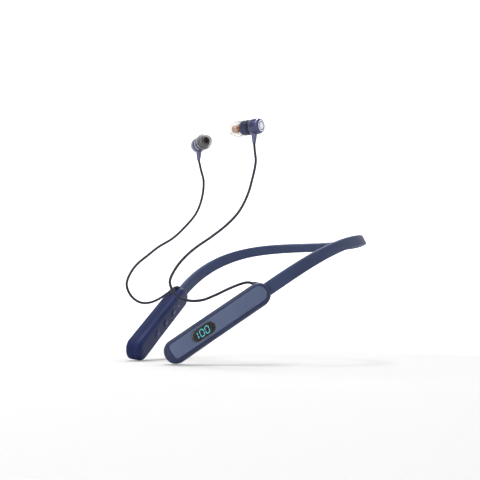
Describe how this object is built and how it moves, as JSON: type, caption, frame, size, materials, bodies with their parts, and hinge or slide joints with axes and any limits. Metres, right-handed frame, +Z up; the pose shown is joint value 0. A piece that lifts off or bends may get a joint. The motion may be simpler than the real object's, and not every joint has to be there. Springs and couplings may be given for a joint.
{
  "type": "neckband earphones",
  "caption": "Wireless neckband earphones: flexible silicone neckband, display pod, control pod with press keys, and in-ear buds on thin cords, shown as worn.",
  "frame": {"origin": "inner face of the band at the back of the neck, halfway round", "axes": "+Z up, -Y the way the wearer faces, +X to the wearer's left, where the display pod is"},
  "size_m": [0.1292, 0.1804, 0.1693],
  "materials": {
    "band": "satin silicone",
    "shell": "satin",
    "control_shell": "satin",
    "panel": "satin",
    "lens": "gloss",
    "digits": "lit",
    "component": "satin",
    "circuit_board": "satin",
    "foam": "matte",
    "screw_steel": "satin",
    "grommet": "matte",
    "switch_plastic": "matte",
    "socket_steel": "satin",
    "light_pipe": "gloss",
    "button": "satin",
    "cord": "matte",
    "stem": "satin",
    "bud_front": "satin metallic",
    "bud_rear": "satin metallic",
    "badge": "satin",
    "driver": "satin",
    "magnet": "plated",
    "nozzle_mesh": "woven",
    "ear_tip": "translucent silicone",
    "spring_wire": "drawn",
    "cable_jacket": "matte"
  },
  "bodies": {
    "neckband": {"band_back": "band", "back_core_wire": "spring_wire", "back_link_cable": "cable_jacket"},
    "display_arm": {"display_band": "band", "display_core_wire": "spring_wire", "display_link_cable": "cable_jacket", "display_pod_outer_shell": "shell", "display_pod_inner_shell": "shell", "display_face_panel": "panel", "display_lens": "lens", "display_digits": "digits", "display_module": "component", "display_board": "circuit_board", "battery_cell": "component", "battery_pad": "foam", "display_pod_screws": "screw_steel", "left_cord_grommet": "grommet"},
    "control_arm": {"control_band": "band", "control_core_wire": "spring_wire", "control_link_cable": "cable_jacket", "control_pod_outer_shell": "control_shell", "control_pod_inner_shell": "control_shell", "control_face_panel": "panel", "main_board": "circuit_board", "bluetooth_module": "component", "tact_switches": "switch_plastic", "microphone": "component", "usb_socket": "socket_steel", "status_light_pipe": "light_pipe", "control_pod_screws": "screw_steel", "right_cord_grommet": "grommet"},
    "plus_key": {"button_plus": "button"},
    "play_key": {"button_play": "button"},
    "minus_key": {"button_minus": "button"},
    "left_lead": {"left_cord": "cord", "left_stem": "stem", "left_bud_barrel": "bud_front", "left_bud_cap": "bud_rear", "left_badge": "badge", "left_driver": "driver", "left_magnet": "magnet", "left_nozzle_mesh": "nozzle_mesh"},
    "left_tip": {"left_ear_tip": "ear_tip"},
    "right_lead": {"right_cord": "cord", "right_stem": "stem", "right_bud_barrel": "bud_front", "right_bud_cap": "bud_rear", "right_badge": "badge", "right_driver": "driver", "right_magnet": "magnet", "right_nozzle_mesh": "nozzle_mesh"},
    "right_tip": {"right_ear_tip": "ear_tip"}
  },
  "joints": [
    {"name": "display_arm_flex", "type": "hinge", "parent": "neckband", "child": "display_arm", "pos_m": [0.04303, -0.0162, -0.00051], "axis": [0.0391, -0.0402, 0.9984], "range_deg": [-4, 25], "stiffness_Nm_per_rad": 0.4},
    {"name": "control_arm_flex", "type": "hinge", "parent": "neckband", "child": "control_arm", "pos_m": [-0.04303, -0.0162, -0.00051], "axis": [0.0391, 0.0402, -0.9984], "range_deg": [-4, 25], "stiffness_Nm_per_rad": 0.4},
    {"name": "plus_press", "type": "slide", "parent": "control_arm", "child": "plus_key", "axis": [-0.8389, -0.5323, 0.114], "range_m": [0, 0.0004], "stiffness_N_per_m": 600},
    {"name": "play_press", "type": "slide", "parent": "control_arm", "child": "play_key", "axis": [-0.8389, -0.5323, 0.114], "range_m": [0, 0.0004], "stiffness_N_per_m": 600},
    {"name": "minus_press", "type": "slide", "parent": "control_arm", "child": "minus_key", "axis": [-0.8389, -0.5323, 0.114], "range_m": [0, 0.0004], "stiffness_N_per_m": 600},
    {"name": "left_lead_swing", "type": "hinge", "parent": "display_arm", "child": "left_lead", "pos_m": [0.04677, -0.12186, -0.03747], "axis": [0, 0, 1], "range_deg": [-15, 15], "stiffness_Nm_per_rad": 0.02},
    {"name": "right_lead_swing", "type": "hinge", "parent": "control_arm", "child": "right_lead", "pos_m": [-0.04677, -0.12186, -0.03747], "axis": [0, 0, -1], "range_deg": [-15, 15], "stiffness_Nm_per_rad": 0.02},
    {"name": "left_tip_pull", "type": "slide", "parent": "left_lead", "child": "left_tip", "axis": [-0.9573, -0.2882, 0.0206], "range_m": [0, 0.009]},
    {"name": "right_tip_pull", "type": "slide", "parent": "right_lead", "child": "right_tip", "axis": [0.9548, -0.2946, -0.0406], "range_m": [0, 0.009]}
  ]
}
